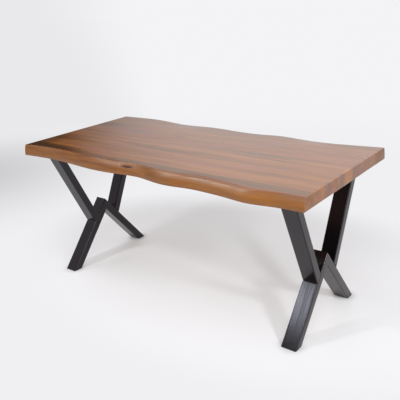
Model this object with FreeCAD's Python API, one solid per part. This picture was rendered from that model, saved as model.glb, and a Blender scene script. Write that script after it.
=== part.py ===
import FreeCAD, Part
import math
import os

from FreeCAD import Placement, Rotation, Vector

# Dining table: a glued-up wooden top with two live edges, on two welded leg frames.
# X runs along the table, Y from front to rear, Z up. The origin lies on the floor under the centre.
# Lengths are in millimetres. A value named share or shares is a part of the size it follows.

os.makedirs("parts", exist_ok=True)

# Whole table
table_length = 1700.0
table_height = 760.0
frame_inset = 130.0  # from an end of the top to the middle plane of its leg frame

# Top
top_thickness = 56.0
top_width = 760.0  # mean width of the upper face, between the live edges
wave_depth = 36.0  # reach of the largest swell of a live edge beyond its mean line
edge_flare = 21.0  # how far a live edge bulges out below the upper face
arris_radius = 3.0

# Glue lines between the staves, from front to rear, as shares of the top's width
glue_line_shares = (-0.434, -0.276, -0.089, 0.029, 0.184, 0.345)

# Live edges: place along the table as a share of its length, and swell as a share of the wave depth
front_wave_shares = (
    (-0.53, -0.15), (-0.50, -0.33), (-0.43, -0.60), (-0.355, -0.67), (-0.265, -0.28),
    (-0.175, 0.10), (-0.09, -0.06), (-0.005, -0.36), (0.06, 0.20), (0.11, 0.39),
    (0.175, 0.06), (0.245, 0.17), (0.30, 0.45), (0.355, 0.78), (0.425, 0.36),
    (0.50, 0.28), (0.53, 0.30),
)
rear_wave_shares = (
    (-0.53, 0.50), (-0.50, 0.60), (-0.425, 0.86), (-0.365, 1.00), (-0.28, 0.60),
    (-0.195, 0.03), (-0.095, 0.22), (-0.015, -0.20), (0.07, -0.67), (0.12, -0.56),
    (0.165, -0.22), (0.24, -0.36), (0.32, -0.68), (0.42, -0.48), (0.50, -0.22),
    (0.53, -0.10),
)

# Section of a live edge: height as a share of the thickness, bulge as a share of the flare
edge_section_shares = ((0.0, 0.90), (0.30, 1.0), (0.65, 0.72), (1.0, 0.0))

# Tube of the leg frames
tube_width = 76.0  # along the table
tube_depth = 42.0  # in the plane of the frame
tube_wall = 2.0
tube_corner_radius = 5.0

# Leg frame outline, from the mean line of a live edge in to the outer faces of the tubes
foot_setback = 83.0  # at the floor
shoulder_setback = 67.0  # under the mounting plate
apex_height = 355.0  # ridge where the lower bars meet
joint_drop = 116.0  # from the ridge down to the lowest line of the upper bars
weld_leg = 4.0

# Mounting plate
plate_overhang = 17.0  # past the outer faces of the upper bars
plate_width = 100.0
plate_thickness = 6.0
plate_corner_radius = 8.0

# Fastening of the top: a rectangle of bolts with a middle pair
bolt_rows = 3
bolt_end_inset = 105.0  # from an end of the plate to its first row
bolt_gauge = 60.0
bolt_diameter = 8.0
bolt_grip = 24.0  # from under the head to the tip
bolt_head_diameter = 14.0
bolt_head_height = 4.5
bolt_key_size = 5.0
bolt_key_depth = 2.6
washer_diameter = 18.0
washer_thickness = 1.6
slot_width = 9.0
slot_length = 17.0
insert_diameter = 12.0
insert_length = 20.0
hole_end_clearance = 3.0  # beyond the insert or the bolt, whichever reaches further
fit_clearance = 0.2

# Foot pads
pad_thickness = 3.0
plug_height = 22.0
plug_wall = 3.0
plug_clearance = 0.3

# Cutting tools reach this far past what they cut
overrun = 25.0

# Places that follow from the sizes above
top_underside = table_height - top_thickness
plate_underside = top_underside - plate_thickness
foot_spread = top_width - 2 * foot_setback
shoulder_spread = top_width - 2 * shoulder_setback
plate_length = shoulder_spread + 2 * plate_overhang
bolt_row_pitch = (plate_length - 2 * bolt_end_inset) / (bolt_rows - 1)
lower_lean = math.atan2(foot_spread / 2, apex_height)
joint_y = -foot_spread / 2 * joint_drop / apex_height
joint_z = apex_height - joint_drop
shoulder_y = -shoulder_spread / 2
upper_lean = math.atan2(joint_y - shoulder_y, plate_underside - joint_z)
end_margin = overrun + tube_depth  # an uncut bar reaches this far past its outer corners
frame_reach = table_length / 2 - frame_inset
bolt_reach = bolt_grip - washer_thickness - plate_thickness
insert_hole_depth = max(insert_length, bolt_reach) + hole_end_clearance


def edge_curve(wave_shares, side, bulge, height):
    """Return one line of a live edge, at a height and a bulge; side is -1 in front, 1 behind."""
    points = []
    for length_share, swell_share in wave_shares:
        reach = top_width / 2 + swell_share * wave_depth + bulge
        points.append(Vector(length_share * table_length, side * reach, height))
    curve = Part.BSplineCurve()
    curve.interpolate(points)
    return curve.toShape()


def top_section(height_share, bulge_share):
    """Return the outline of the top at one height, from a front and a rear live edge."""
    height = top_underside + height_share * top_thickness
    bulge = bulge_share * edge_flare
    front = edge_curve(front_wave_shares, -1, bulge, height)
    rear = edge_curve(rear_wave_shares, 1, bulge, height)
    left = Part.makeLine(front.firstVertex().Point, rear.firstVertex().Point)
    right = Part.makeLine(front.lastVertex().Point, rear.lastVertex().Point)
    return Part.Wire([front, right, rear, left])


def glued_top():
    """Return the whole top, sawn to length and with its arrises eased."""
    sections = [top_section(height, bulge) for height, bulge in edge_section_shares]
    blank = Part.makeLoft(sections, True, False)
    reach = top_width + 2 * (wave_depth + edge_flare + overrun)
    saw_box = Part.makeBox(
        table_length, reach, top_thickness, Vector(-table_length / 2, -reach / 2, top_underside)
    )
    top = blank.common(saw_box)
    flat_heights = (top_underside, table_height)
    arrises = [
        edge for edge in top.Edges
        if edge.BoundBox.ZLength < arris_radius
        and min(abs(edge.BoundBox.ZMin - height) for height in flat_heights) < arris_radius
    ]
    return top.makeFillet(arris_radius, arrises)


def bolt_places(frame_x):
    """Return the plan positions of the bolts of one leg frame."""
    places = []
    for row in range(bolt_rows):
        y = (row - (bolt_rows - 1) / 2) * bolt_row_pitch
        for side in (-1, 1):
            places.append(Vector(frame_x + side * bolt_gauge / 2, y, 0))
    return places


def insert_holes(frame_x):
    """Return the blind holes in the underside of the top that take the inserts."""
    radius = insert_diameter / 2 + fit_clearance
    holes = []
    for place in bolt_places(frame_x):
        base = place + Vector(0, 0, top_underside - overrun)
        holes.append(Part.makeCylinder(radius, insert_hole_depth + overrun, base))
    return Part.makeCompound(holes)


def top_staves():
    """Return the staves of the top, from front to rear."""
    top = glued_top()
    for frame_x in (-frame_reach, frame_reach):
        top = top.cut(insert_holes(frame_x))
    outer_line = top_width / 2 + wave_depth + edge_flare + overrun
    lines = [-outer_line]
    lines += [share * top_width for share in glue_line_shares]
    lines += [outer_line]
    staves = []
    for front_line, rear_line in zip(lines, lines[1:]):
        slab = Part.makeBox(
            table_length + 2 * overrun, rear_line - front_line, top_thickness + 2 * overrun,
            Vector(-table_length / 2 - overrun, front_line, top_underside - overrun),
        )
        staves.append(top.common(slab))
    return staves


def rounded_bar(width, depth, radius, length):
    """Return a straight bar of rounded rectangular section, standing on its centre."""
    bar = Part.makeBox(width, depth, length, Vector(-width / 2, -depth / 2, 0))
    corners = [edge for edge in bar.Edges if edge.BoundBox.ZLength > length / 2]
    return bar.makeFillet(radius, corners)


def tube_core(length, clearance):
    """Return the bar that fills the bore of the tube, less a clearance all round."""
    inset = 2 * (tube_wall + clearance)
    radius = tube_corner_radius - tube_wall
    return rounded_bar(tube_width - inset, tube_depth - inset, radius, length)


def tube(length):
    """Return a straight rectangular tube with rounded corners."""
    outer = rounded_bar(tube_width, tube_depth, tube_corner_radius, length)
    return outer.cut(tube_core(length, 0))


def lean_placement(frame_x, outer_y, outer_z, lean):
    """Return the place of a bar that leans over by an angle about X.

    The given point lies on the face of the bar that looks to the front.
    """
    rotation = Rotation(Vector(1, 0, 0), -math.degrees(lean))
    centre = Vector(frame_x, outer_y, outer_z) + rotation.multVec(Vector(0, tube_depth / 2, 0))
    return Placement(centre, rotation)


def lower_placement(frame_x):
    """Return the place of an uncut front lower bar, which starts below the floor."""
    place = lean_placement(frame_x, -foot_spread / 2, 0, lower_lean)
    return place.multiply(Placement(Vector(0, 0, -end_margin), Rotation()))


def lower_length():
    """Return a length that takes a lower bar past both of its cuts."""
    return math.hypot(foot_spread / 2, apex_height) + 2 * end_margin


def front_half_space(frame_x, bottom, top):
    """Return the box in front of the middle plane, between two heights."""
    reach = foot_spread + shoulder_spread
    width = tube_width + 2 * overrun
    return Part.makeBox(width, reach, top - bottom, Vector(frame_x - width / 2, -reach, bottom))


def front_lower_bar(frame_x):
    """Return the front lower bar: cut level above its foot pad and mitred at the ridge."""
    bar = tube(lower_length())
    bar.Placement = lower_placement(frame_x)
    return bar.common(front_half_space(frame_x, pad_thickness, table_height))


def behind_lower_face(frame_x):
    """Return the space behind the outer face of the front lower bar."""
    reach = foot_spread + shoulder_spread
    width = tube_width + 2 * overrun
    corner = Vector(-width / 2, -tube_depth / 2, -reach)
    block = Part.makeBox(width, reach, 2 * reach, corner)
    block.Placement = lower_placement(frame_x)
    return block


def front_upper_bar(frame_x):
    """Return the front upper bar: level under the plate and cut to lie on the lower bar."""
    rise = plate_underside - joint_z
    bar = tube(math.hypot(joint_y - shoulder_y, rise) + 2 * end_margin)
    place = lean_placement(frame_x, joint_y, joint_z, -upper_lean)
    bar.Placement = place.multiply(Placement(Vector(0, 0, -end_margin), Rotation()))
    bar = bar.common(front_half_space(frame_x, 0, plate_underside))
    return bar.cut(behind_lower_face(frame_x))


def front_foot_pad(frame_x):
    """Return the plastic plug that closes the foot of the front lower bar."""
    sole = rounded_bar(tube_width, tube_depth, tube_corner_radius, lower_length())
    sole.Placement = lower_placement(frame_x)
    sole = sole.common(front_half_space(frame_x, 0, pad_thickness))
    plug = tube_core(lower_length(), plug_clearance)
    hollow = rounded_bar(
        tube_width - 2 * (tube_wall + plug_wall),
        tube_depth - 2 * (tube_wall + plug_wall),
        tube_corner_radius - tube_wall,
        lower_length(),
    )
    plug = plug.cut(hollow)
    plug.Placement = lower_placement(frame_x)
    plug = plug.common(front_half_space(frame_x, pad_thickness, pad_thickness + plug_height))
    return sole.fuse(plug).removeSplitter()


def weld_bead(frame_x, corner_y, corner_z, first_way, second_way):
    """Return one fillet weld along X; the ways are angles in the YZ plane, from +Y."""
    length = tube_width - 2 * tube_corner_radius
    corner = Vector(frame_x - length / 2, corner_y, corner_z)
    points = [corner]
    for way in (first_way, second_way):
        points.append(corner + Vector(0, math.cos(way), math.sin(way)) * weld_leg)
    section = Part.Face(Part.makePolygon(points + [corner]))
    return section.extrude(Vector(length, 0, 0))


def front_weld_beads(frame_x):
    """Return the weld beads of the front half of a frame, and the one under the ridge."""
    up_lower = math.pi / 2 - lower_lean
    up_upper = math.pi / 2 + upper_lean
    spread = upper_lean + lower_lean
    # the upper bar's inner face meets the lower bar this far up its face
    contact = tube_depth / math.sin(spread)
    inner_y = joint_y + contact * math.cos(up_lower)
    inner_z = joint_z + contact * math.sin(up_lower)
    plate_y = shoulder_y + tube_depth / math.cos(upper_lean)
    ridge_z = apex_height - tube_depth / math.sin(lower_lean)
    return [
        weld_bead(frame_x, joint_y, joint_z, up_upper, up_lower + math.pi),
        weld_bead(frame_x, inner_y, inner_z, up_upper, up_lower),
        weld_bead(frame_x, shoulder_y, plate_underside, math.pi, up_upper - math.pi),
        weld_bead(frame_x, plate_y, plate_underside, 0, up_upper - math.pi),
        weld_bead(frame_x, 0, ridge_z, up_lower + math.pi, -up_lower),
    ]


def mirrored(shape):
    """Return the rear twin of a front piece."""
    return shape.mirror(Vector(0, 0, 0), Vector(0, 1, 0))


def weld_beads(frame_x):
    """Return all the weld beads of a frame."""
    front = front_weld_beads(frame_x)
    rear = [mirrored(bead) for bead in front[:-1]]
    return Part.makeCompound(front + rear)


def slot_cutter(place):
    """Return a slot along Y, which lets the top swell and shrink across its grain."""
    height = plate_thickness + 2 * overrun
    base = place + Vector(0, 0, plate_underside - overrun)
    half_run = (slot_length - slot_width) / 2
    cutter = Part.makeBox(
        slot_width, 2 * half_run, height, base - Vector(slot_width / 2, half_run, 0)
    )
    for side in (-1, 1):
        end = base + Vector(0, side * half_run, 0)
        cutter = cutter.fuse(Part.makeCylinder(slot_width / 2, height, end))
    return cutter


def hole_cutter(place):
    """Return a round bolt hole through the mounting plate."""
    base = place + Vector(0, 0, plate_underside - overrun)
    return Part.makeCylinder(slot_width / 2, plate_thickness + 2 * overrun, base)


def mounting_plate(frame_x):
    """Return the plate: round holes in its middle row, slots in the outer rows."""
    plate = Part.makeBox(
        plate_width, plate_length, plate_thickness,
        Vector(frame_x - plate_width / 2, -plate_length / 2, plate_underside),
    )
    corners = [edge for edge in plate.Edges if edge.BoundBox.ZLength > plate_thickness / 2]
    plate = plate.makeFillet(plate_corner_radius, corners)
    for place in bolt_places(frame_x):
        in_middle = abs(place.y) < bolt_row_pitch / 2
        cutter = hole_cutter(place) if in_middle else slot_cutter(place)
        plate = plate.cut(cutter)
    return plate


def bolt(place):
    """Return a button-head bolt with a hexagon socket, seated under its washer."""
    seat = place + Vector(0, 0, plate_underside - washer_thickness)
    shank = Part.makeCylinder(bolt_diameter / 2 - fit_clearance, bolt_grip, seat)
    head_base = seat - Vector(0, 0, bolt_head_height)
    head = Part.makeCylinder(bolt_head_diameter / 2, bolt_head_height, head_base)
    rim = [edge for edge in head.Edges if edge.BoundBox.ZMax < seat.z - bolt_head_height / 2]
    head = head.makeFillet(bolt_head_height / 2, rim)
    across_corners = bolt_key_size / math.cos(math.pi / 6)
    hexagon = []
    for corner in range(7):
        angle = corner * math.pi / 3
        offset = Vector(math.cos(angle), math.sin(angle), 0) * across_corners / 2
        hexagon.append(head_base + offset)
    socket = Part.Face(Part.makePolygon(hexagon)).extrude(Vector(0, 0, bolt_key_depth))
    return head.cut(socket).fuse(shank).removeSplitter()


def washer(place):
    """Return a flat washer under the mounting plate."""
    base = place + Vector(0, 0, plate_underside - washer_thickness)
    disc = Part.makeCylinder(washer_diameter / 2, washer_thickness, base)
    bore = Part.makeCylinder(bolt_diameter / 2, washer_thickness, base)
    return disc.cut(bore)


def insert(place):
    """Return a threaded insert, flush with the underside of the top."""
    base = place + Vector(0, 0, top_underside)
    body = Part.makeCylinder(insert_diameter / 2, insert_length, base)
    bore = Part.makeCylinder(bolt_diameter / 2, insert_length, base)
    return body.cut(bore)


def bolted_group(make_piece, frame_x):
    """Return one piece at each bolt place of a frame."""
    return Part.makeCompound([make_piece(place) for place in bolt_places(frame_x)])


def leg_frame(frame_x):
    """Return the pieces of one leg frame by name."""
    pieces = {}
    makers = {
        "lower_bar": front_lower_bar,
        "upper_bar": front_upper_bar,
        "foot_pad": front_foot_pad,
    }
    for name, make_front in makers.items():
        front = make_front(frame_x)
        pieces["front_" + name] = front
        pieces["rear_" + name] = mirrored(front)
    pieces["mounting_plate"] = mounting_plate(frame_x)
    pieces["weld_beads"] = weld_beads(frame_x)
    pieces["bolts"] = bolted_group(bolt, frame_x)
    pieces["washers"] = bolted_group(washer, frame_x)
    pieces["inserts"] = bolted_group(insert, frame_x)
    return pieces


def export(name, shape):
    """Write one node and say what it holds."""
    solids = shape.Solids
    whole = Part.makeCompound(solids) if len(solids) > 1 else solids[0]
    whole.exportStep("parts/" + name + ".step")
    print(name, len(solids), "solids", whole.isValid(), round(whole.Volume))


for number, stave in enumerate(top_staves(), start=1):
    export("top_stave_" + str(number), stave)

for side_name, side in (("left", -1), ("right", 1)):
    for piece_name, piece in leg_frame(side * frame_reach).items():
        export(side_name + "_" + piece_name, piece)
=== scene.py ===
# %% [markdown]
# # A live-edge dining table
#
# The table has a thick wooden top, glued up from seven staves, with two wavy live edges, and it
# stands on two crossed frames of rectangular steel tube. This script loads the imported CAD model,
# models anew only what a smooth CAD solid can't show, and gives each surface its finish. X runs
# along the table, Y from its front to its rear, Z up, in metres, with the origin on the floor.

import bmesh
import bpy
import numpy as np
from mathutils import Matrix, Vector


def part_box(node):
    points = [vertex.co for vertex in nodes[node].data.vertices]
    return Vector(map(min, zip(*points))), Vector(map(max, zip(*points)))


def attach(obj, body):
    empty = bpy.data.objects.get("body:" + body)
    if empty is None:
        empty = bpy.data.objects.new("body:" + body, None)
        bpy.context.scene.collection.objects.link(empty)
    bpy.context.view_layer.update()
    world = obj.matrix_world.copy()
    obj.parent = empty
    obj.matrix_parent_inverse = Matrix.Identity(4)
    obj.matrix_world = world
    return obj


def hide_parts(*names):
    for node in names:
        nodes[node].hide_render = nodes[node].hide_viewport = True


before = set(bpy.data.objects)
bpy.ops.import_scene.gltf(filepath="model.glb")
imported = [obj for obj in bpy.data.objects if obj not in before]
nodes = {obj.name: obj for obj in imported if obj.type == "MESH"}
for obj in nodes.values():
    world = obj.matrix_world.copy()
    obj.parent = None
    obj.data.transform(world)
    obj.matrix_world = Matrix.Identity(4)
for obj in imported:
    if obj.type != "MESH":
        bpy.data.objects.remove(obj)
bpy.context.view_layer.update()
print("CAD nodes:", len(nodes))

# %% [markdown]
# Small lengths are easier to read in millimetres, and a colour is easier to name as a screen shows
# it. So one value turns millimetres to metres, and one function turns an sRGB hex colour to the
# linear values that the renderer adds up.

# %% Units and colours
mm = 0.001


def linear(hex_colour):
    """Linear RGBA of an sRGB hex colour: each share, offset by 0.055, is raised to 2.4."""
    shares = np.array([int(hex_colour[i:i + 2], 16) for i in (1, 3, 5)]) / 255
    dark = shares / 12.92
    bright = ((shares + 0.055) / 1.055) ** 2.4
    return (*np.where(shares <= 0.04045, dark, bright), 1.0)


print("mid grey #808080 is", round(linear("#808080")[0], 3), "in linear light")

# %% [markdown]
# The camera stands where the photographer stood. Its place and its turns were solved from the
# corners of the top and of both leg frames, at a table height of 760 mm. Yaw turns the view left
# from straight ahead, pitch tilts it down, and roll tips the horizon. The lens follows from the
# focal length in pixels and the image width of 400 pixels.

# %% Camera
IMAGE_WIDTH = 400
FOCAL_PIXELS = 569.41
camera_place = (1761.9 * mm, -2158.6 * mm, 1489.4 * mm)
camera_yaw, camera_pitch, camera_roll = np.radians((38.598, -20.124, -3.283))


def camera_matrix(place, yaw, pitch, roll):
    """Return the pose whose -Z axis looks along the view and whose Y axis is the image's up."""
    forward = np.array((
        -np.sin(yaw) * np.cos(pitch),
        np.cos(yaw) * np.cos(pitch),
        np.sin(pitch),
    ))
    level = np.cross(forward, (0, 0, 1))
    level /= np.linalg.norm(level)
    above = np.cross(level, forward)
    right = np.cos(roll) * level + np.sin(roll) * above
    up = np.cos(roll) * above - np.sin(roll) * level
    pose = np.eye(4)
    pose[:3, 0], pose[:3, 1], pose[:3, 2], pose[:3, 3] = right, up, -forward, place
    return Matrix(pose.tolist())


camera = bpy.data.objects.new("camera", bpy.data.cameras.new("camera"))
camera.matrix_world = camera_matrix(camera_place, camera_yaw, camera_pitch, camera_roll)
camera.data.lens = FOCAL_PIXELS / IMAGE_WIDTH * camera.data.sensor_width
camera.data.clip_end = 100
bpy.context.scene.collection.objects.link(camera)
bpy.context.scene.camera = camera
print("lens:", round(camera.data.lens, 2), "mm")

# %% [markdown]
# Every finish here is a small graph of nodes. One helper adds a node with its settings and its
# links, so that the graph reads as a list of steps. A Mix node names several sockets alike, so the
# ones for colours are picked by number.

# %% Node helper
FACTOR, COLOUR_A, COLOUR_B, MIXED = 0, 6, 7, 2


def set_inputs(tree, node, inputs):
    """Give a node's inputs their values, and link those whose value is another node's socket."""
    for name, value in inputs.items():
        if isinstance(value, bpy.types.NodeSocket):
            tree.links.new(value, node.inputs[name])
        else:
            node.inputs[name].default_value = value


def add_node(tree, kind, inputs=None, **settings):
    """Add a node with its inputs, and with settings for its own properties."""
    node = tree.nodes.new("ShaderNode" + kind)
    for name, value in settings.items():
        setattr(node, name, value)
    set_inputs(tree, node, inputs or {})
    return node


def new_material(name):
    """Return a material and its node tree, with a Principled shader and an output only."""
    material = bpy.data.materials.new(name)
    material.use_nodes = True
    return material, material.node_tree, material.node_tree.nodes["Principled BSDF"]


print("node helper ready")

# %% [markdown]
# ## The studio
#
# The photograph was taken in a studio with a pale seamless floor and a bright wall behind. The wall
# matters most, because the satin top mirrors it at a flat angle: where it does, a pale veil lies
# over the wood. The wall ends at the left, so the front left corner of the top mirrors a dark room
# instead and shows the wood's full brown. The room around the camera is dark too, which is why the
# frames look almost black from the front, but for a dimmer wall far to its left. High on the left
# hangs a bright cloth: the flat top never mirrors it, but each rounded arris gleams with it.

# %% Sizes of the studio
# compass directions, counted from +X towards +Y
WALL_START, WALL_END = np.radians((-35, 141.5))
SIDE_START, SIDE_END = np.radians((204, 230))
CLOTH_START, CLOTH_END = np.radians((118, 212))
BACKDROP_BORDER = np.radians(138.5)
# sines of the angles over which those upright borders fade, to both sides
WALL_BLUR, SIDE_BLUR, CLOTH_BLUR, BACKDROP_BLUR = 0.20, 0.08, 0.10, 0.09
WALL_FALL = 0.13  # sine of the angle over which the wall brightens, counted from its end
# sines of the angles above the table
WALL_TOP, SIDE_TOP, TOP_BLUR = 0.58, 0.80, 0.15
CLOTH_LOW, CLOTH_HIGH, CLOTH_BORDER = 0.60, 0.91, 0.05
CEILING_START, CEILING_FULL = 0.75, 0.95
wall_colour = (1.18, 1.18, 1.20, 1.0)  # brighter than white: lamps shine on the wall
side_colour = linear("#d3cfd6")
cloth_colour = (2.1, 2.1, 2.15, 1.0)
ceiling_colour = linear("#a8a9ac")
dark_room_colour = linear("#2b2a2b")
backdrop_left, backdrop_right = linear("#e9e9eb"), linear("#f3f3f5")
print("the wall ends at", round(np.degrees(WALL_END), 1), "degrees")

# %% [markdown]
# So the world is two bright sectors and one bright patch in a dark room, with a dim ceiling. Each
# upright border between them is soft, and is told from the direction in which a ray leaves. The
# camera itself sees an even pale backdrop instead, a little dimmer at the left.

# %% Borders of the lit things
world = bpy.data.worlds.new("studio")
world.use_nodes = True
tree = world.node_tree
tree.nodes.clear()
direction = add_node(tree, "TexCoord").outputs["Generated"]


def sine_past(tree, direction, azimuth):
    """Sine of the angle by which a direction lies clockwise of a compass direction."""
    side = (np.sin(azimuth), -np.cos(azimuth), 0)
    return add_node(
        tree, "VectorMath", {0: direction, 1: side}, operation="DOT_PRODUCT"
    ).outputs["Value"]


def border(tree, direction, azimuth, blur):
    """0 to 1 across a soft upright border at a compass direction: 1 is clockwise of it."""
    sine = sine_past(tree, direction, azimuth)
    return add_node(
        tree, "MapRange", {"Value": sine, "From Min": -blur, "From Max": blur},
        interpolation_type="SMOOTHSTEP",
    ).outputs["Result"]


def backdrop(tree, direction):
    """What the camera sees behind the table: a little dimmer past the wall's end."""
    share = border(tree, direction, BACKDROP_BORDER, BACKDROP_BLUR)
    return add_node(
        tree, "Mix", {FACTOR: share, COLOUR_A: backdrop_left, COLOUR_B: backdrop_right},
        data_type="RGBA",
    ).outputs[MIXED]


def wall_light(tree, direction):
    """Brightness of the wall: 1 - exp(-sine / fall) from its end, none past both ends."""
    sine = sine_past(tree, direction, WALL_END)
    started = border(tree, direction, WALL_START + np.pi, WALL_BLUR)
    fall = add_node(tree, "Math", {0: sine, 1: -1 / WALL_FALL}, operation="MULTIPLY").outputs[0]
    dark = add_node(tree, "Math", {0: fall}, operation="EXPONENT").outputs[0]
    bright = add_node(tree, "Math", {0: 1.0, 1: dark}, operation="SUBTRACT", use_clamp=True)
    return add_node(
        tree, "Math", {0: bright.outputs[0], 1: started}, operation="MULTIPLY"
    ).outputs[0]


def between(tree, direction, start, end, blur):
    """1 between two compass directions, 0 outside them: the product of both borders."""
    after_start = border(tree, direction, start + np.pi, blur)
    before_end = border(tree, direction, end, blur)
    return add_node(tree, "Math", {0: after_start, 1: before_end}, operation="MULTIPLY").outputs[0]


def height_share(tree, elevation, start, end):
    """0 to 1 while the sine of the elevation goes from start to end, upwards or downwards."""
    return add_node(
        tree, "MapRange", {"Value": elevation, "From Min": start, "From Max": end}
    ).outputs["Result"]


print("border helpers ready")

# %% [markdown]
# The lit things are laid over the dark room one after the other. Each has a share from 0 to 1, which
# is its share by compass direction times its share by height.

# %% World
elevation = add_node(tree, "SeparateXYZ", {0: direction}).outputs["Z"]
around = {
    "side": between(tree, direction, SIDE_START, SIDE_END, SIDE_BLUR),
    "wall": wall_light(tree, direction),
    "cloth": between(tree, direction, CLOTH_START, CLOTH_END, CLOTH_BLUR),
}
above_hem = height_share(tree, elevation, CLOTH_LOW - CLOTH_BORDER, CLOTH_LOW + CLOTH_BORDER)
below_rail = height_share(tree, elevation, CLOTH_HIGH + CLOTH_BORDER, CLOTH_HIGH - CLOTH_BORDER)
upwards = {
    "side": height_share(tree, elevation, SIDE_TOP + TOP_BLUR, SIDE_TOP - TOP_BLUR),
    "wall": height_share(tree, elevation, WALL_TOP + TOP_BLUR, WALL_TOP - TOP_BLUR),
    "cloth": add_node(tree, "Math", {0: above_hem, 1: below_rail}, operation="MULTIPLY").outputs[0],
}
overhead = height_share(tree, elevation, CEILING_START, CEILING_FULL)
room = add_node(
    tree, "Mix", {FACTOR: overhead, COLOUR_A: dark_room_colour, COLOUR_B: ceiling_colour},
    data_type="RGBA",
).outputs[MIXED]
for thing, colour in (("side", side_colour), ("wall", wall_colour), ("cloth", cloth_colour)):
    share = add_node(
        tree, "Math", {0: around[thing], 1: upwards[thing]}, operation="MULTIPLY"
    ).outputs[0]
    room = add_node(
        tree, "Mix", {FACTOR: share, COLOUR_A: room, COLOUR_B: colour}, data_type="RGBA"
    ).outputs[MIXED]
seen_directly = add_node(tree, "LightPath").outputs["Is Camera Ray"]
seen = add_node(
    tree, "Mix", {FACTOR: seen_directly, COLOUR_A: room, COLOUR_B: backdrop(tree, direction)},
    data_type="RGBA",
).outputs[MIXED]
background = add_node(tree, "Background", {"Color": seen, "Strength": 1.0})
add_node(tree, "OutputWorld", {"Surface": background.outputs[0]})
bpy.context.scene.world = world
bpy.context.scene.view_settings.view_transform = "Standard"
print("world nodes:", len(tree.nodes))

# %% [markdown]
# Four softboxes light the table. The shadows of the legs on the floor give the places of two small
# ones: one stands at the left in front of the table, and one beyond its right end, so the top is
# nearly twice as bright there as at its left end. A large one in front fills the live edge with
# soft light. A small cool one, high up and far off, is what the wide face of the right front lower
# bar mirrors: without it that face would be black.

# %% Lamps


def softbox(name, place, target, size, power, colour=(1, 1, 1)):
    """Add a square area lamp, turned to face a target: places and size in m, power in W."""
    lamp = bpy.data.lights.new(name, "AREA")
    lamp.size = size
    lamp.energy = power
    lamp.color = colour
    obj = bpy.data.objects.new(name, lamp)
    obj.location = place
    obj.rotation_mode = "QUATERNION"
    obj.rotation_quaternion = (Vector(target) - Vector(place)).to_track_quat("-Z", "Y")
    bpy.context.scene.collection.objects.link(obj)


COOL = (0.90, 1.0, 1.08)
softbox("left_softbox", (-1.1, -1.6, 2.15), (0, 0, 0.5), 0.25, 20)
softbox("right_softbox", (2.86, -0.82, 2.0), (0.2, 0, 0.6), 0.4, 45)
softbox("front_softbox", (1.7, -1.8, 2.4), (0.6, 0, 0.6), 1.8, 44)
softbox("far_softbox", (-2.0, -4.5, 4.7), (0.7, -0.2, 0.3), 0.7, 18, COOL)
print("lamps:", [light.name for light in bpy.data.lights])

# %% [markdown]
# The floor is one large flat disc, whose material changes with the place on the ground.

# %% Disc and distances on the ground
FLOOR_RADIUS = 40.0  # m


def new_object(name, points, faces):
    """Add a mesh object at the origin; smooth faces let one shade run over a curved surface."""
    mesh = bpy.data.meshes.new(name)
    mesh.from_pydata(points.reshape(-1, 3).tolist(), [], faces)
    mesh.polygons.foreach_set("use_smooth", np.ones(len(mesh.polygons), bool))
    mesh.update()
    obj = bpy.data.objects.new(name, mesh)
    bpy.context.scene.collection.objects.link(obj)
    return obj


def disc(name, radius, sides=96):
    """Return a flat disc facing up: its rim is radius times (cos, sin) of even steps of angle."""
    angle = np.linspace(0, 2 * np.pi, sides, endpoint=False)
    rim = np.column_stack((radius * np.cos(angle), radius * np.sin(angle), 0 * angle))
    return new_object(name, rim, [list(range(sides))])


def ground_fade(tree, place, centre, size, start, end):
    """0 to 1 over the ground from start to end, both counted in an ellipse's half sizes."""
    scaled = add_node(tree, "Mapping", {
        "Vector": place,
        "Scale": (1 / size[0], 1 / size[1], 0),
        "Location": (-centre[0] / size[0], -centre[1] / size[1], 0),
    }).outputs["Vector"]
    distance = add_node(tree, "VectorMath", {0: scaled}, operation="LENGTH").outputs["Value"]
    return add_node(
        tree, "MapRange", {"Value": distance, "From Min": start, "From Max": end},
        interpolation_type="SMOOTHSTEP",
    ).outputs["Result"]


print("floor radius:", FLOOR_RADIUS, "m")

# %% [markdown]
# It is pale matt paper. Real studio paper is lit evenly from all sides and curves up behind into the
# wall. So only the patch around the legs, where the shadows fall, is shaded by the lamps. Around it
# the disc glows as paper in even light does, and further out as the backdrop, and no horizon shows.
# In the patch, too, part of the brightness is a painted glow: it stands for light from all around
# the studio that reaches under the table. Close to a foot that light is hidden, so the glow fades
# there and leaves a small painted contact shadow. Far to the left a soft painted shade makes the
# paper a little dimmer. From below the floor is clear, so that the table's underside can be looked
# at.

# %% Studio paper
SHADOW_CENTRE, SHADOW_SIZE = (0.05, 0.33), (1.65, 1.12)  # m, half sizes of the shaded patch
SHADOW_FULL, SHADOW_END = 0.6, 1.0  # half sizes: full shade within the one, none past the other
BACKDROP_START, BACKDROP_END = 2.6, 5.0  # m from the table's middle
PAPER_GLOW = 0.33
# the painted glow fades to a painted contact shadow round each foot
CONTACT_SHADOW_SIZE = (0.085, 0.075)  # m, half sizes of the dark patch round a foot
CONTACT_SHADOW_CORE = 0.1  # share of those half sizes that is darkest
# a soft painted shade on the paper far to the left
FAR_SHADE_PLACE, FAR_SHADE_RADIUS = (-3.1, 0.45), 1.9  # m
FOOT_PLACES = [(x, y) for x in (-0.72, 0.72) for y in (-0.27, 0.27)]  # m


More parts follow.
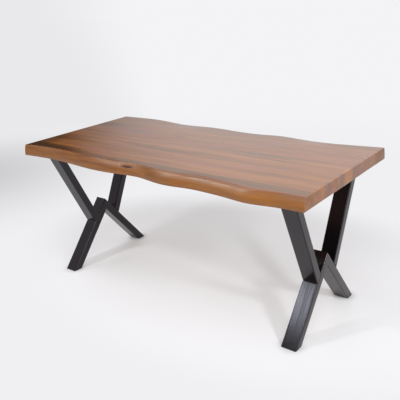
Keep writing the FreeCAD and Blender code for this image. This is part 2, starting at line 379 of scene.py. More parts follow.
def studio_paper():
    """Pale matt paper: no gloss, so only soft shadows show on it."""
    material, tree, paper = new_material("pale_studio_paper")
    place = add_node(tree, "TexCoord").outputs["Object"]
    mottle = add_node(tree, "TexNoise", {"Vector": place, "Scale": 2.0, "Detail": 3.0})
    tone = add_node(tree, "Mix", {
        FACTOR: mottle.outputs["Fac"], COLOUR_A: linear("#babcc1"), COLOUR_B: linear("#bec0c5"),
    }, data_type="RGBA")
    lit = PAPER_GLOW
    # round each foot the painted glow fades, which paints a contact shadow there
    for foot in FOOT_PLACES:
        away = ground_fade(tree, place, foot, CONTACT_SHADOW_SIZE, CONTACT_SHADOW_CORE, 1.0)
        lit = add_node(tree, "Math", {0: lit, 1: away}, operation="MULTIPLY").outputs[0]
    set_inputs(tree, paper, {
        "Base Color": tone.outputs[MIXED], "Roughness": 0.9, "Specular IOR Level": 0.0,
        "Emission Color": linear("#fff9f2"), "Emission Strength": lit,
    })
    outward = add_node(tree, "VectorMath", {0: place}, operation="NORMALIZE").outputs[0]
    far = ground_fade(tree, place, (0, 0), (1, 1), BACKDROP_START, BACKDROP_END)
    sheet = add_node(
        tree, "Mix", {FACTOR: far, COLOUR_A: linear("#f0f0f2"), COLOUR_B: backdrop(tree, outward)},
        data_type="RGBA",
    ).outputs[MIXED]
    # far to the left the sheet is dimmed by a painted shade
    dim = ground_fade(tree, place, FAR_SHADE_PLACE, (FAR_SHADE_RADIUS, FAR_SHADE_RADIUS), 1.0, 0.0)
    sheet = add_node(
        tree, "Mix", {FACTOR: dim, COLOUR_A: sheet, COLOUR_B: linear("#cccccf")}, data_type="RGBA"
    ).outputs[MIXED]
    glow = add_node(tree, "Emission", {"Color": sheet})
    open_share = ground_fade(tree, place, SHADOW_CENTRE, SHADOW_SIZE, SHADOW_FULL, SHADOW_END)
    open_paper = add_node(
        tree, "MixShader", {0: open_share, 1: paper.outputs[0], 2: glow.outputs[0]}
    )
    clear = add_node(tree, "BsdfTransparent")
    from_below = add_node(tree, "NewGeometry").outputs["Backfacing"]
    both = add_node(
        tree, "MixShader", {0: from_below, 1: open_paper.outputs[0], 2: clear.outputs[0]}
    )
    set_inputs(tree, tree.nodes["Material Output"], {"Surface": both.outputs[0]})
    return material


floor = disc("floor", FLOOR_RADIUS)
floor.data.materials.append(studio_paper())
print("feet with a contact shadow:", len(FOOT_PLACES))

# %% [markdown]
# ## The live edges
#
# The two outer staves keep the outline that the tree grew with. A CAD loft gives their waves, but
# not the hand-worked surface: a real live edge is peeled and sanded, so it has shallow hollows, a
# knot, and arrises that are crisp in one place and well rounded in another. So both are surfaces
# worked out anew: the section runs from the underside over the edge to the top, and moves along X
# on the same wavy lines as in the CAD model. The surface stays inside the CAD solid, but for two
# squared corners, where the upper arris is up to 8.5 mm further out than in the solid.

# %% Lines of the live edges
front_low, front_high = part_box("top_stave_1")
underside, half_length = front_low.z, front_high.x
front_glue_line, rear_glue_line = front_high.y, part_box("top_stave_7")[0].y
top_thickness = front_high.z - underside
mean_half_width = 380 * mm
wave_depth = 36 * mm
edge_flare = 21 * mm  # how far the widest line stands out from the upper arris
end_arris = 3 * mm

# place along the table as a share of its length, and swell as a share of the wave depth
front_wave_shares = np.array((
    (-0.53, -0.15), (-0.50, -0.33), (-0.43, -0.60), (-0.355, -0.67), (-0.265, -0.28),
    (-0.175, 0.10), (-0.09, -0.06), (-0.005, -0.36), (0.06, 0.20), (0.11, 0.39),
    (0.175, 0.06), (0.245, 0.17), (0.30, 0.45), (0.355, 0.78), (0.425, 0.36),
    (0.50, 0.28), (0.53, 0.30),
))
rear_wave_shares = np.array((
    (-0.53, 0.50), (-0.50, 0.60), (-0.425, 0.86), (-0.365, 1.00), (-0.28, 0.60),
    (-0.195, 0.03), (-0.095, 0.22), (-0.015, -0.20), (0.07, -0.67), (0.12, -0.56),
    (0.165, -0.22), (0.24, -0.36), (0.32, -0.68), (0.42, -0.48), (0.50, -0.22),
    (0.53, -0.10),
))
# height as a share of the thickness, and bulge as a share of the flare; the worked face is planed
# a little flatter than the CAD model's, whose middle bulge is 0.1 to 0.2 larger
section_shares = np.array(((0.0, 0.90), (0.30, 0.90), (0.65, 0.56), (1.0, 0.0)))


def smooth_line(knots, values, at):
    """Natural cubic spline: cubic pieces that join in slope and bend, with straight ends."""
    step = np.diff(knots)
    slope = np.diff(values) / step
    inner = np.arange(1, len(knots) - 1)
    system = np.eye(len(knots))
    system[inner, inner - 1] = step[:-1]
    system[inner, inner] = 2 * (step[:-1] + step[1:])
    system[inner, inner + 1] = step[1:]
    right_side = np.zeros(len(knots))
    right_side[inner] = 6 * np.diff(slope)
    bend = np.linalg.solve(system, right_side)
    piece = np.clip(np.searchsorted(knots, at) - 1, 0, len(step) - 1)
    run = at - knots[piece]
    left = slope[piece] - step[piece] * (2 * bend[piece] + bend[piece + 1]) / 6
    cubic = (bend[piece + 1] - bend[piece]) / (6 * step[piece])
    return values[piece] + run * (left + run * (bend[piece] / 2 + run * cubic))


def wave(shares, x):
    """Reach of a live edge's upper arris from the middle of the table, along x."""
    knots = shares[:, 0] * 2 * half_length
    return mean_half_width + smooth_line(knots, shares[:, 1] * wave_depth, x)


print("front edge at the middle:", wave(front_wave_shares, np.zeros(1)).round(4), "m")

# %% [markdown]
# The section is a line through the four heights of the live edge, with flat stretches of underside
# and top at its ends. To ease an arris, each point is replaced by the mean of the line over a short
# length on both sides: a corner turns into a small curve, and a flat stretch stays flat. The length
# changes along the table, so the arris is crisp in most places and well rounded in the worn ones.

# %% Section of a live edge
FLAT_RUN = 34 * mm
FINE_STEP = 0.25 * mm
EDGE_POINTS, FLAT_POINTS = 400, 60


def raw_section():
    """Run, outward part and height at even steps along the section, its arrises still sharp."""
    level = np.linspace(0, 1, EDGE_POINTS)
    cubic = np.polyfit(section_shares[:, 0], section_shares[:, 1], 3)
    bulge = np.polyval(cubic, level) * edge_flare
    foot = bulge[0] - np.linspace(FLAT_RUN, 0, FLAT_POINTS, endpoint=False)
    cap = bulge[-1] - np.linspace(0, FLAT_RUN, FLAT_POINTS)[1:]
    outward = np.concatenate((foot, bulge, cap))
    height = np.concatenate((0 * foot, level * top_thickness, 0 * cap + top_thickness))
    run = np.concatenate(((0,), np.cumsum(np.hypot(np.diff(outward), np.diff(height)))))
    even = np.arange(0, run[-1], FINE_STEP)
    return even, np.interp(even, run, outward), np.interp(even, run, height)


def eased_section(places, window):
    """Mean of the section over a window each side of each place: running sum over length."""
    run, outward, height = raw_section()
    eased = []
    for line in (outward, height):
        total = np.concatenate(((0,), np.cumsum((line[1:] + line[:-1]) / 2 * FINE_STEP)))
        upper = np.interp(places + window, run, total)
        lower = np.interp(places - window, run, total)
        eased.append((upper - lower) / (2 * window))
    return eased


section_length = raw_section()[0][-1]
print("section length:", round(section_length / mm, 1), "mm")

# %% [markdown]
# The hollows are a sum of a few dozen waves of random length, direction and phase, taken from a
# seeded generator, so that each run carves the same edge. They cut inwards by less than a
# millimetre and fade out at both arrises. The knot is one more hollow, about 60 mm long at half its
# depth. Near the front left corner and the rear right one the edge was squared up, so the face
# stands almost upright there.

# %% Hand-worked surface
HOLLOW_DEPTH, HOLLOW_WAVES = 0.8 * mm, 28
SHORTEST_WAVE, LONGEST_WAVE, WAVE_LEAN = 120 * mm, 420 * mm, 0.7
KNOT_LENGTH, KNOT_RISE, KNOT_DEPTH = 60 * mm, 9 * mm, 0.7 * mm  # reach to both sides, and depth
SQUARED_RUN, SQUARED_BULGE, SQUARED_SHARE = 110 * mm, 17 * mm, 0.5


def hollows(x, run, seed):
    """Depth of the hollows, 0 to 1: a sum of cosine waves over the edge, squeezed by tanh."""
    generator = np.random.default_rng(seed)
    length = generator.uniform(SHORTEST_WAVE, LONGEST_WAVE, HOLLOW_WAVES)
    lean = generator.uniform(-WAVE_LEAN, WAVE_LEAN, HOLLOW_WAVES)
    phase = generator.uniform(0, 2 * np.pi, HOLLOW_WAVES)
    angle = 2 * np.pi / length * (x[..., None] + lean * run[..., None]) + phase
    return 0.5 + 0.5 * np.tanh(np.cos(angle).sum(-1) / 5)


def worked_cut(x, run, level, seed, knot):
    """How deep the surface is cut: hollows between both arrises, plus a bell for the knot."""
    share = (run - FLAT_RUN) / (section_length - 2 * FLAT_RUN)
    inside = np.clip(np.minimum(share, 1 - share) * 6, 0, 1)  # fades over a sixth at each arris
    cut = HOLLOW_DEPTH * hollows(x, run, seed) * inside
    if knot is None:
        return cut
    distance = np.hypot((x - knot[0]) / KNOT_LENGTH, (level - knot[1]) / KNOT_RISE)
    return cut + KNOT_DEPTH * np.exp(-3 * distance ** 2)


def squared_up(outward, x, side):
    """Draw the section towards an even bulge near the corner that was squared up."""
    squared = SQUARED_SHARE * np.exp(-((x - side * half_length) / SQUARED_RUN) ** 2)
    return outward + squared * (SQUARED_BULGE - outward)


print("deepest hollow:", HOLLOW_DEPTH / mm, "mm, knot:", KNOT_DEPTH / mm, "mm")

# %% [markdown]
# A stave is a grid of points: stations along X, closer together where the sawn ends are rounded, and
# places along the section at each. The loop of each section closes over the glue line, and each end
# gets one face.

# %% Stations and faces
STATIONS, ROUNDING_STEPS = 460, 7


def stave_stations():
    """Return x of the stations and how far a 3 mm quarter round sets the section in at each."""
    turn = np.linspace(0, np.pi / 2, ROUNDING_STEPS)
    rounded = half_length - end_arris + end_arris * np.sin(turn)
    inner = np.linspace(-1, 1, STATIONS)[1:-1] * (half_length - end_arris)
    x = np.concatenate((-rounded[::-1], inner, rounded))
    return x, np.interp(np.abs(x), rounded, end_arris * (1 - np.cos(turn)))


def loft_faces(grid, first=0):
    """Faces over a grid of closed sections, whose points are counted from first, and its ends."""
    stations, around = grid.shape[:2]
    index = first + np.arange(stations * around).reshape(stations, around)
    nearer, further = index[:-1], index[1:]
    quads = np.stack((
        nearer, np.roll(nearer, -1, axis=1), np.roll(further, -1, axis=1), further
    ), axis=-1)
    return quads.reshape(-1, 4).tolist() + [index[0][::-1].tolist(), index[-1].tolist()]


print("stations:", len(stave_stations()[0]))

# %% [markdown]
# Worn places make the upper arris rounder. A finish can't tell an arris from the open surface, so
# each point also stores how near the upper arris it is, as "rim".

# %% Outer staves
CRISP, WELL_ROUNDED = 2.0 * mm, 18.0 * mm  # half the run over which an arris is eased
SECTION_POINTS = 72
RIM_WIDTH = 16 * mm
SHARP_ANGLE = np.radians(35)


def edge_stave(name, shares, side, glue_line, seed, worn_places, knot=None):
    """Return one outer stave as a closed surface.

    Over a grid of x and place along the section: y is the side's sign times (reach of the wave plus
    outward part of the section minus the cut), and z is its height. Towards both sawn ends the
    section shrinks by the rounding of the end's arris.
    """
    x, inset = stave_stations()
    margin = WELL_ROUNDED + 0.5 * mm
    run = np.linspace(margin, section_length - margin, SECTION_POINTS)
    x_grid, run_grid = np.meshgrid(x, run, indexing="ij")
    worn = sum(np.exp(-((x - middle) / spread) ** 2) for middle, spread in worn_places)
    at_top = np.clip((run_grid / section_length - 0.5) * 4, 0, 1)  # 0 to halfway up, then to 1
    window = CRISP + (WELL_ROUNDED - CRISP) * np.clip(worn, 0, 1)[:, None] * at_top
    outward, height = eased_section(run_grid, window)
    outward = squared_up(outward, x_grid, side)
    cut = worked_cut(x_grid, run_grid, height + underside, seed, knot)
    from_glue = wave(shares, x)[:, None] + outward - cut - abs(glue_line)
    glue = np.zeros((len(x), 1))
    from_glue = np.hstack((glue, from_glue, glue))
    height = np.hstack((glue, height, glue + top_thickness))
    widest = from_glue.max(axis=1, keepdims=True)
    from_glue = from_glue * (1 - inset[:, None] / widest)
    height = inset[:, None] + height * (1 - 2 * inset[:, None] / top_thickness)
    points = np.stack((
        np.broadcast_to(x[:, None], height.shape),
        side * (abs(glue_line) + from_glue),
        underside + height,
    ), axis=-1)
    # mirrored to the rear, a face would look inwards, so its corners are taken the other way round
    faces = [face[::-side] for face in loft_faces(points)]
    stave = new_object(name, points, faces)
    stave.data.set_sharp_from_angle(angle=SHARP_ANGLE)
    near_arris = np.exp(-((run_grid - (section_length - FLAT_RUN)) / RIM_WIDTH) ** 2)
    rim = stave.data.attributes.new("rim", "FLOAT", "POINT")
    rim.data.foreach_set("value", np.hstack((glue, near_arris, glue)).ravel())
    return stave


# worn places: middle and spread along x, in m; knot: along x and up, in m
front_stave = edge_stave(
    "front_live_edge", front_wave_shares, -1, front_glue_line, 11,
    worn_places=((0.38, 0.28), (-0.20, 0.07)), knot=(-0.085, 0.745),
)
rear_stave = edge_stave(
    "rear_live_edge", rear_wave_shares, 1, rear_glue_line, 23,
    worn_places=((-0.3, 0.3), (0.5, 0.2)),
)
for stave, node in ((front_stave, "top_stave_1"), (rear_stave, "top_stave_7")):
    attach(stave, "root")
    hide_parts(node)

# %% [markdown]
# ## The wood
#
# The top is hardwood stained walnut brown under a satin varnish. Wood is a stack of growth rings
# around the pith, so the material is solid: the rings are the distance from a pith line that lies
# near each stave, bent a little on its way. On the top they show as lines along the board, and on
# the sawn ends as arcs, without being drawn twice. Each stave has its own pith and its own tones,
# because glued boards come from different trees. Every pattern here is noise whose spots are long
# along the fibres and narrow across them: broad streaks, veins, flames of redder wood, and pores.

# %% Sizes in the grain
RING_PITCH = 9.0  # mm; real rings are 3 to 5 mm, drawn coarser so that the ends show arcs
STREAK_LENGTH, STREAK_WIDTH = 640.0, 36.0  # mm
VEIN_LENGTH, VEIN_WIDTH = 250.0, 11.0  # mm
FLAME_LENGTH, FLAME_WIDTH = 420.0, 70.0  # mm
PORE_LENGTH, PORE_WIDTH = 22.0, 1.1  # mm; real pores are 0.3 mm wide
WANDER_LENGTH, WANDER_WIDTH, WANDER = 520.0, 110.0, 26.0  # mm; the last is how far fibres stray
PATTERN_SHIFT = 7.3  # spots by which each stave's pattern is shifted from the next one's


def fibre_noise(tree, place, length, width, shift, detail):
    """Noise whose spots are so long along X and so wide across it, in millimetres."""
    spots = add_node(tree, "Mapping", {
        "Vector": place, "Scale": (1 / length, 1 / width, 1 / width), "Location": (shift, 0, 0),
    }).outputs["Vector"]
    return add_node(tree, "TexNoise", {"Vector": spots, "Scale": 1.0, "Detail": detail})


def millimetres(tree):
    """Object coordinates in millimetres."""
    place = add_node(tree, "TexCoord").outputs["Object"]
    return add_node(
        tree, "VectorMath", {0: place, 1: (1 / mm,) * 3}, operation="MULTIPLY"
    ).outputs[0]


def wandering_grain(tree, place, shift):
    """The place in the wood, bent sideways a little as real fibres are."""
    bend = fibre_noise(tree, place, WANDER_LENGTH, WANDER_WIDTH, shift, 2.0).outputs["Color"]
    bend = add_node(
        tree, "VectorMath", {0: bend, 1: (0.5, 0.5, 0.5)}, operation="SUBTRACT"
    ).outputs[0]
    bend = add_node(
        tree, "VectorMath", {0: bend, 1: (0, WANDER, WANDER)}, operation="MULTIPLY"
    ).outputs[0]
    return add_node(tree, "VectorMath", {0: place, 1: bend}, operation="ADD").outputs[0]


def growth_ring(tree, grain, pith):
    """Place within a ring, 0 to 1: the fraction of (distance from the pith / ring pitch)."""
    from_pith = add_node(
        tree, "VectorMath", {0: grain, 1: (0, *pith)}, operation="SUBTRACT"
    ).outputs[0]
    from_pith = add_node(
        tree, "VectorMath", {0: from_pith, 1: (0, 1, 1)}, operation="MULTIPLY"
    ).outputs[0]
    radius = add_node(tree, "VectorMath", {0: from_pith}, operation="LENGTH").outputs["Value"]
    ring = add_node(tree, "Math", {0: radius, 1: RING_PITCH}, operation="DIVIDE").outputs[0]
    return add_node(tree, "Math", {0: ring}, operation="FRACT").outputs[0]


print("pores drawn", PORE_WIDTH, "mm wide")

# %% [markdown]
# Seen from afar, a stained top is told apart by its figure: a few long streaks where the wood took
# more or less stain. Each is an ellipse on the top, given by its middle, its half sizes, its colour
# and how much of it shows, and its border wanders with the grain. One that reaches over several
# boards is laid on each of them, and bends with each board's own grain. Two more patches lie on the
# front live edge, in straight millimetres. One is the bark left in the knot, darkened further as
# the painted shade of its slit, which the shallow hollow doesn't cast. The other is painted light:
# a paler tan over the right half of that edge, which stands for the stronger light on that end.

# %% Streaks of stain
stain_tones = {
    "dark": "#432a17", "umber": "#5e3816", "olive": "#5c4728", "tan": "#a56c34",
    "rose": "#8d5742", "grey": "#6a4e44", "bark": "#2c190f",
    "late wood": "#2c190d", "pores": "#22130a", "end grain": "#40241a",
}
PATCH_FULL, PATCH_END = 0.35, 1.15  # half sizes at which a patch starts to fade and has faded out
# middle, then half sizes, along, across and up, in mm; share of the stain at the middle
# the knot's dark bark, darkened further as painted shade in its slit
KNOT_BARK_AND_SHADE = ((-80, -392, 743), (50, 60, 6.5), 0.9)
# painted light: a paler tan over the right half of the front edge, for more light on that end
PAINTED_EDGE_LIGHT = ((560, -410, 722), (450, 60, 38), 0.35)
# middle along and across the table, half length and half width, all in mm; tone; share. The last
# six tint the boards' right ends.
figure = (
    ((-740, -325), (360, 46), "dark", 0.85),
    ((-770, -145), (190, 60), "umber", 0.6),
    ((-790, 195), (150, 60), "dark", 0.5),
    ((0, -350), (480, 32), "olive", 0.5),
    ((600, -350), (420, 34), "olive", 0.55),
    ((500, -262), (420, 34), "tan", 0.3),
    ((440, -216), (420, 7), "grey", 0.5),
    ((-70, -112), (300, 24), "umber", 0.55),
    ((480, -125), (420, 14), "grey", 0.45),
    ((150, -48), (720, 24), "tan", 0.28),
    ((360, 25), (360, 22), "olive", 0.55),
    ((-172, 125), (70, 13), "umber", 0.6),
    ((-475, 130), (200, 80), "rose", 0.3),
    ((-850, -230), (140, 150), "dark", 0.6),
    ((-820, -330), (150, 60), "dark", 0.6),
    ((-42, -372), (28, 9), "dark", 0.6),
    ((100, 345), (800, 16), "olive", 0.4),
    ((-650, 182), (110, 26), "grey", 0.8),
    ((-470, 128), (120, 24), "grey", 0.8),
    ((-480, 60), (200, 50), "rose", 0.4),
    ((850, -385), (22, 24), "grey", 0.6),
    ((850, -206), (22, 24), "grey", 0.8),
    ((850, -86), (22, 28), "grey", 0.7),
    ((850, -20), (22, 46), "tan", 0.6),
    ((850, 72), (22, 36), "grey", 0.5),
    ((850, 390), (22, 30), "grey", 0.7),
)


def patch(tree, place, middle, half_size, amount):
    """Share of an ellipsoid's stain: the full amount about its middle, 0 past its border."""
    scale = 1 / np.array(half_size)
    spot = add_node(tree, "Mapping", {
        "Vector": place, "Scale": scale, "Location": -scale * middle,
    }).outputs["Vector"]
    reach = add_node(tree, "VectorMath", {0: spot}, operation="LENGTH").outputs["Value"]
    return add_node(tree, "MapRange", {
        "Value": reach, "From Min": PATCH_END, "From Max": PATCH_FULL, "To Max": amount,
    }, interpolation_type="SMOOTHSTEP").outputs["Result"]


def stained(tree, tone, share, stain):
    """Blend a share of a stain into the tone."""
    return add_node(
        tree, "Mix", {FACTOR: share, COLOUR_A: tone, COLOUR_B: linear(stain_tones[stain])},
        data_type="RGBA",
    ).outputs[MIXED]


print("streaks of stain:", len(figure))

# %% [markdown]
# The finish is laid on in layers: the board's tone, redder flames, the figure, the darker late wood
# of each ring, the pores, and last the end grain, which drinks more stain and turns darker and
# redder.

# %% Layers of the finish
LATE_POWER, LATE_SHARE = 2.5, 0.09  # the stain grows with the place in the ring to this power
PORE_SHARE, END_SHARE = 0.22, 0.30
END_START, END_FULL = 0.6, 0.9  # the normal's X where a face turns into end grain


def board_tone(tree, share, light, dark):
    """Blend between a board's two browns."""
    return add_node(
        tree, "Mix", {FACTOR: share, COLOUR_A: linear(dark), COLOUR_B: linear(light)},
        data_type="RGBA",
    ).outputs[MIXED]


def with_figure(tree, tone, grain, number):
    """Lay the streaks over a board's tone, those that reach over this board only."""
    box_low, box_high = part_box(f"top_stave_{number}")
    for middle, half_size, stain, amount in figure:
        nearest, furthest = middle[1] - half_size[1], middle[1] + half_size[1]
        if box_low.y / mm < furthest and nearest < box_high.y / mm:
            streak = patch(tree, grain, (*middle, 0), (*half_size, np.inf), amount)
            tone = stained(tree, tone, streak, stain)
    return tone


def with_fine_grain(tree, tone, ring, pores, sideways):
    """Add the late wood of the rings, the pores, and the deeper stain of the sawn ends."""
    late = add_node(tree, "Math", {0: ring, 1: LATE_POWER}, operation="POWER").outputs[0]
    late = add_node(tree, "Math", {0: late, 1: LATE_SHARE}, operation="MULTIPLY").outputs[0]
    tone = stained(tree, tone, late, "late wood")
    pore_share = add_node(tree, "MapRange", {
        "Value": pores, "From Min": 0.56, "From Max": 0.75, "To Max": PORE_SHARE,
    }).outputs["Result"]
    tone = stained(tree, tone, pore_share, "pores")
    away = add_node(tree, "Math", {0: sideways}, operation="ABSOLUTE").outputs[0]
    end_share = add_node(tree, "MapRange", {
        "Value": away, "From Min": END_START, "From Max": END_FULL, "To Max": END_SHARE,
    }).outputs["Result"]
    return stained(tree, tone, end_share, "end grain")


print("stains:", ", ".join(stain_tones))

# %% [markdown]
# On the hand-worked edges the sapwood is a lighter orange brown, and the varnish is thinner and less
# smooth. The bark in the knot has next to no varnish. Along the rear arris a dark line is drawn,
# where the stored "rim" is high. The varnish itself is the gloss of the shader.

# %% Stained hardwood
VEIN_BLEND = 0.42  # share of the veins in a board's tone; the rest comes from the broad streaks
MIN_VEIN, MAX_VEIN = 0.34, 0.66  # noise values taken as the darkest and the lightest wood
FLAME_SHARE, RIM_SHARE = 0.55, 0.6
FACE_ROUGHNESS = (0.20, 0.15)  # in the darkest and the lightest vein
EDGE_ROUGHNESS, BARK_ROUGHNESS = 0.36, 0.9
EDGE_START, EDGE_FULL = 0.996, 0.93  # the normal's Z where a face turns into live edge


def stained_hardwood(number, pith, light, dark, edge_light=None, edge_dark=None):
    """Satin varnish over stained wood: brown that deepens where nothing bright is mirrored."""
    material, tree, wood = new_material(f"stained_hardwood_{number}")
    shift = number * PATTERN_SHIFT
    place = millimetres(tree)
    grain = wandering_grain(tree, place, shift)
    streaks = fibre_noise(tree, grain, STREAK_LENGTH, STREAK_WIDTH, shift, 2.0).outputs["Fac"]
    veins = fibre_noise(tree, grain, VEIN_LENGTH, VEIN_WIDTH, shift, 3.0).outputs["Fac"]
    pores = fibre_noise(tree, grain, PORE_LENGTH, PORE_WIDTH, shift, 1.0).outputs["Fac"]
    flames = fibre_noise(tree, grain, FLAME_LENGTH, FLAME_WIDTH, -shift, 1.0).outputs["Fac"]
    ring = growth_ring(tree, grain, pith)
    normal = add_node(tree, "NewGeometry").outputs["Normal"]
    normal = add_node(tree, "SeparateXYZ", {0: normal}).outputs
    blend = add_node(tree, "Mix", {0: VEIN_BLEND, 2: streaks, 3: veins}).outputs[0]
    share = add_node(
        tree, "MapRange", {"Value": blend, "From Min": MIN_VEIN, "From Max": MAX_VEIN}
    ).outputs["Result"]
    tone = board_tone(tree, share, light, dark)
    redder = add_node(tree, "MapRange", {
        "Value": flames, "From Min": 0.48, "From Max": 0.72, "To Max": FLAME_SHARE,
    }).outputs["Result"]
    tone = with_figure(tree, stained(tree, tone, redder, "rose"), grain, number)
    gloss = add_node(tree, "MapRange", {
        "Value": veins, "To Min": FACE_ROUGHNESS[0], "To Max": FACE_ROUGHNESS[1],
    }).outputs["Result"]
    if edge_light is not None:
        upright = add_node(tree, "MapRange", {
            "Value": normal["Z"], "From Min": EDGE_START, "From Max": EDGE_FULL,
        }).outputs["Result"]
        edge_tone = board_tone(tree, share, edge_light, edge_dark)
        tone = add_node(
            tree, "Mix", {FACTOR: upright, COLOUR_A: tone, COLOUR_B: edge_tone}, data_type="RGBA"
        ).outputs[MIXED]
        gloss = add_node(tree, "Mix", {0: upright, 2: gloss, 3: EDGE_ROUGHNESS}).outputs[0]
    if number == 1:
        # paler tan on the right half of the front edge: painted light
        tone = stained(tree, tone, patch(tree, place, *PAINTED_EDGE_LIGHT), "tan")
        # dark bark in the knot, with the shade of its slit painted in; bare bark is rough
        bark = patch(tree, place, *KNOT_BARK_AND_SHADE)
        tone = stained(tree, tone, bark, "bark")
        gloss = add_node(tree, "Mix", {0: bark, 2: gloss, 3: BARK_ROUGHNESS}).outputs[0]
    if number == 7:
        rim = add_node(tree, "Attribute", attribute_name="rim").outputs["Fac"]
        rim = add_node(tree, "Math", {0: rim, 1: RIM_SHARE}, operation="MULTIPLY").outputs[0]
        tone = stained(tree, tone, rim, "dark")
    tone = with_fine_grain(tree, tone, ring, pores, normal["X"])
    relief = add_node(tree, "Math", {0: pores, 1: ring}, operation="ADD").outputs[0]
    bump = add_node(tree, "Bump", {"Height": relief, "Strength": 0.12, "Distance": 0.1 * mm})
    set_inputs(tree, wood, {
        "Base Color": tone, "Roughness": gloss, "IOR": 1.5, "Normal": bump.outputs["Normal"],
    })
    return material


print("hardwood finish ready")

# %% [markdown]
# The pith is where a board's tree had its middle, across and up in mm. It lies 60 to 120 mm above or
# below the top, as for boards sawn away from the middle, so each sawn end shows arcs.

# %% Staves
edge_tones = dict(edge_light="#8d5a2b", edge_dark="#6e421d")
staves = {
    1: dict(pith=(-300, 640), light="#804c23", dark="#623515", **edge_tones),
    2: dict(pith=(-262, 610), light="#996132", dark="#754621"),
    3: dict(pith=(-160, 860), light="#97602e", dark="#74441d"),
    4: dict(pith=(-90, 620), light="#996132", dark="#754520"),
    5: dict(pith=(60, 880), light="#92592b", dark="#70401b"),
    6: dict(pith=(230, 600), light="#955c2f", dark="#73431f"),
    7: dict(pith=(330, 830), light="#965e2c", dark="#74441c", **edge_tones),
}
wood_finish = {number: stained_hardwood(number, **tones) for number, tones in staves.items()}
for number in range(2, 7):
    nodes[f"top_stave_{number}"].material_slots[0].material = wood_finish[number]
front_stave.data.materials.append(wood_finish[1])
rear_stave.data.materials.append(wood_finish[7])
print("stave finishes:", len(wood_finish))

# %% [markdown]
# ## The steel frames
#
# The frames are mild steel tube, sprayed with charcoal powder and baked. Powder melts to a tough
# skin that never lies quite flat: it dries to a fine orange peel and stays satin. So the finish is
# a dark plastic film, not a metal, with small shallow dimples. The tube under it was ground along
# its length, and the marks show through the thin film as long streaks of more and less gloss. The
# pattern is narrow along X and long in a frame's plane, so that it suits bars of all slopes.

# %% Powder coat
PEEL_SIZE = 2.2  # mm, drawn a little coarser than the real 1 to 1.5 mm
MARK_LENGTH, MARK_WIDTH = 320.0, 6.0  # mm, drawn wide: real grinding marks are under 1 mm wide
COAT_ROUGHNESS = (0.13, 0.22)  # in the glossiest and the dullest streak


def powder_coat():
    """Satin charcoal film: soft highlights on the tube's corners, streaks of gloss along it."""
    material, tree, film = new_material("charcoal_powder_coat")
    place = add_node(tree, "TexCoord").outputs["Object"]
    peel = add_node(
        tree, "TexNoise", {"Vector": place, "Scale": 1 / (PEEL_SIZE * mm), "Detail": 1.0}
    ).outputs["Fac"]
    along = 1 / (MARK_LENGTH * mm)
    across = 1 / (MARK_WIDTH * mm)
    marks = add_node(tree, "Mapping", {"Vector": place, "Scale": (across, along, along)})
    marks = add_node(
        tree, "TexNoise", {"Vector": marks.outputs["Vector"], "Scale": 1.0, "Detail": 2.0}
    ).outputs["Fac"]
    tone = add_node(
        tree, "Mix", {FACTOR: marks, COLOUR_A: linear("#090707"), COLOUR_B: linear("#0f0c0d")},
        data_type="RGBA",
    ).outputs[MIXED]
    gloss = add_node(tree, "MapRange", {
        "Value": marks, "From Min": 0.35, "From Max": 0.65,
        "To Min": COAT_ROUGHNESS[0], "To Max": COAT_ROUGHNESS[1],
    }).outputs["Result"]
    bump = add_node(tree, "Bump", {"Height": peel, "Strength": 0.25, "Distance": 0.05 * mm})
    set_inputs(tree, film, {
        "Base Color": tone, "Roughness": gloss, "IOR": 1.48, "Specular Tint": linear("#fbf2fb"),
        "Normal": bump.outputs["Normal"],
    })
    return material


coat = powder_coat()
coated = [name for name in nodes if name.endswith(("_bar", "_plate", "_beads"))]
for name in coated:
    nodes[name].material_slots[0].material = coat
print("coated nodes:", len(coated))

# %% [markdown]
# A fillet weld is a row of overlapping drops of metal, so its face is rippled. The CAD model holds
# each bead as a plain triangular bar. Its root and its two toes are read from there.

# %% Places of the weld beads
BEADS_PER_FRAME = 9


def bead_corners(node):
    """Return each bead's root and toes in the YZ plane, and its ends along X.

    The root is the corner whose distances to the two others are alike.
    """
    mesh = nodes[node].data
    points = np.empty(len(mesh.vertices) * 3)
    mesh.vertices.foreach_get("co", points)
    beads = []
    for bead in points.reshape(BEADS_PER_FRAME, -1, 3):
        corners = np.unique(bead[:, 1:].round(6), axis=0)
        gaps = np.linalg.norm(corners - np.roll(corners, 1, axis=0), axis=1)
        uneven = np.abs(gaps - np.roll(gaps, -1))
        from_root = np.roll(corners, -int(uneven.argmin()), axis=0)
        beads.append((from_root, bead[:, 0].min(), bead[:, 0].max()))
    return beads


print("beads found:", len(bead_corners("left_weld_beads")) + len(bead_corners("right_weld_beads")))

# %% [markdown]
# A rippled surface is laid over each bead: it swells between the toes, and dips where the next drop
# starts. The beads lie in different directions, so Blender turns their faces outwards at the end.

# %% Weld beads
RIPPLE_PITCH = 2.4 * mm
RIPPLE_BOW = 0.35  # how far a drop's front bows ahead in the middle of the bead, in pitches
RIPPLE_LOW, RIPPLE_RISE = 0.93, 0.14  # size of the bead in a dip, and what a crest adds
TAPER = 0.05  # share of the half length over which the bead closes at each end
BEAD_FULLNESS = 1.45  # 1 is a quarter ellipse between the toes, 2 a straight line
RIPPLE_POINTS, BEAD_POINTS = 6, 9  # along a drop, and from toe to toe


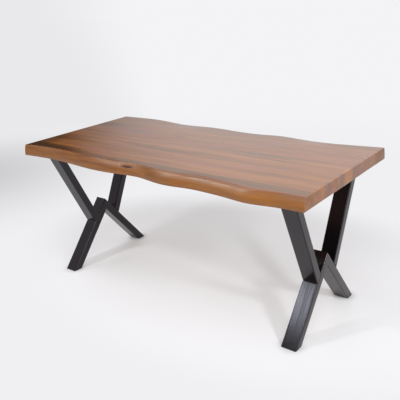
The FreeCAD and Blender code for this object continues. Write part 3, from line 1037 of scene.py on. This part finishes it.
def rippled_bead(corners, start, end):
    """Grid of x and angle: root plus cosine and sine parts of the toes, scaled by the ripples."""
    root, first_toe, second_toe = corners
    count = int(round((end - start) / RIPPLE_PITCH))
    along = np.linspace(0, 1, count * RIPPLE_POINTS + 1)
    angle = np.linspace(0, np.pi / 2, BEAD_POINTS)
    along_grid, angle_grid = np.meshgrid(along, angle, indexing="ij")
    crest = (along_grid * count + RIPPLE_BOW * np.sin(2 * angle_grid)) % 1
    swell = RIPPLE_LOW + RIPPLE_RISE * np.sqrt(crest)
    past_taper = (np.abs(2 * along_grid - 1) - (1 - TAPER)) / TAPER
    taper = np.sqrt(np.clip(1 - past_taper, 0, 1))
    size = (swell * taper)[..., None]
    first = (np.cos(angle_grid) ** BEAD_FULLNESS)[..., None] * (first_toe - root)
    second = (np.sin(angle_grid) ** BEAD_FULLNESS)[..., None] * (second_toe - root)
    across = root + size * (first + second)
    x = (start + along_grid * (end - start))[..., None]
    surface = np.concatenate((x, across), axis=-1)
    keel = np.concatenate((x[:, :1], np.broadcast_to(root, (len(along), 1, 2))), axis=-1)
    return np.concatenate((surface, keel), axis=1)


def weld_run(name, grids):
    """Put all beads of a frame into one mesh, with their faces turned outwards."""
    faces, first = [], 0
    for grid in grids:
        faces += loft_faces(grid, first)
        first += grid.shape[0] * grid.shape[1]
    welds = new_object(name, np.concatenate([grid.reshape(-1, 3) for grid in grids]), faces)
    shell = bmesh.new()
    shell.from_mesh(welds.data)
    bmesh.ops.recalc_face_normals(shell, faces=shell.faces)
    shell.to_mesh(welds.data)
    shell.free()
    return welds


for side in ("left", "right"):
    node = f"{side}_weld_beads"
    welds = weld_run(f"{side}_welds", [rippled_bead(*bead) for bead in bead_corners(node)])
    welds.data.materials.append(coat)
    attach(welds, "root")
    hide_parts(node)
    print(welds.name, len(welds.data.vertices), "vertices")

# %% [markdown]
# ## The small parts
#
# The feet stand on moulded black plastic plugs. Under the top sit zinc-plated bolts and washers,
# and turned brass inserts in the wood. Plastic shows a fine moulded grain, zinc plate has a faint
# blue crystal bloom, and plain brass is slightly mottled. Both metals are drawn as small cells.

# %% Moulded plastic, zinc plate and turned brass


def moulded_plastic():
    """Matt black polypropylene: a grey bloom on the moulded grain."""
    material, tree, plastic = new_material("moulded_black_plastic")
    place = add_node(tree, "TexCoord").outputs["Object"]
    grain = add_node(
        tree, "TexNoise", {"Vector": place, "Scale": 1 / (0.8 * mm), "Detail": 2.0}
    ).outputs["Fac"]
    tone = add_node(
        tree, "Mix", {FACTOR: grain, COLOUR_A: linear("#151515"), COLOUR_B: linear("#222222")},
        data_type="RGBA",
    ).outputs[MIXED]
    bump = add_node(tree, "Bump", {"Height": grain, "Strength": 0.3, "Distance": 0.05 * mm})
    set_inputs(tree, plastic, {
        "Base Color": tone, "Roughness": 0.6, "IOR": 1.49, "Normal": bump.outputs["Normal"],
    })
    return material


def plated_metal(name, light, dark, roughness, cell_mm):
    """Bare metal under fine cells of slightly different tone and gloss."""
    material, tree, metal = new_material(name)
    place = add_node(tree, "TexCoord").outputs["Object"]
    cells = add_node(
        tree, "TexVoronoi", {"Vector": place, "Scale": 1 / (cell_mm * mm)}
    ).outputs["Color"]
    share = add_node(tree, "SeparateColor", {0: cells}).outputs[0]
    tone = add_node(
        tree, "Mix", {FACTOR: share, COLOUR_A: linear(dark), COLOUR_B: linear(light)},
        data_type="RGBA",
    ).outputs[MIXED]
    gloss = add_node(tree, "MapRange", {
        "Value": share, "To Min": roughness - 0.05, "To Max": roughness + 0.05,
    }).outputs["Result"]
    set_inputs(tree, metal, {"Base Color": tone, "Roughness": gloss, "Metallic": 1.0})
    return material


plastic = moulded_plastic()
zinc = plated_metal("bright_zinc_plate", "#c3c7cc", "#a3a8b0", 0.3, 1.2)
brass = plated_metal("turned_brass", "#d8b56a", "#b8924a", 0.35, 0.6)
small_parts = {"pad": plastic, "bolts": zinc, "washers": zinc, "inserts": brass}
for name, node in nodes.items():
    kind = name.split("_")[-1]
    if kind in small_parts:
        node.material_slots[0].material = small_parts[kind]
print("materials:", sorted(material.name for material in bpy.data.materials if material.users))
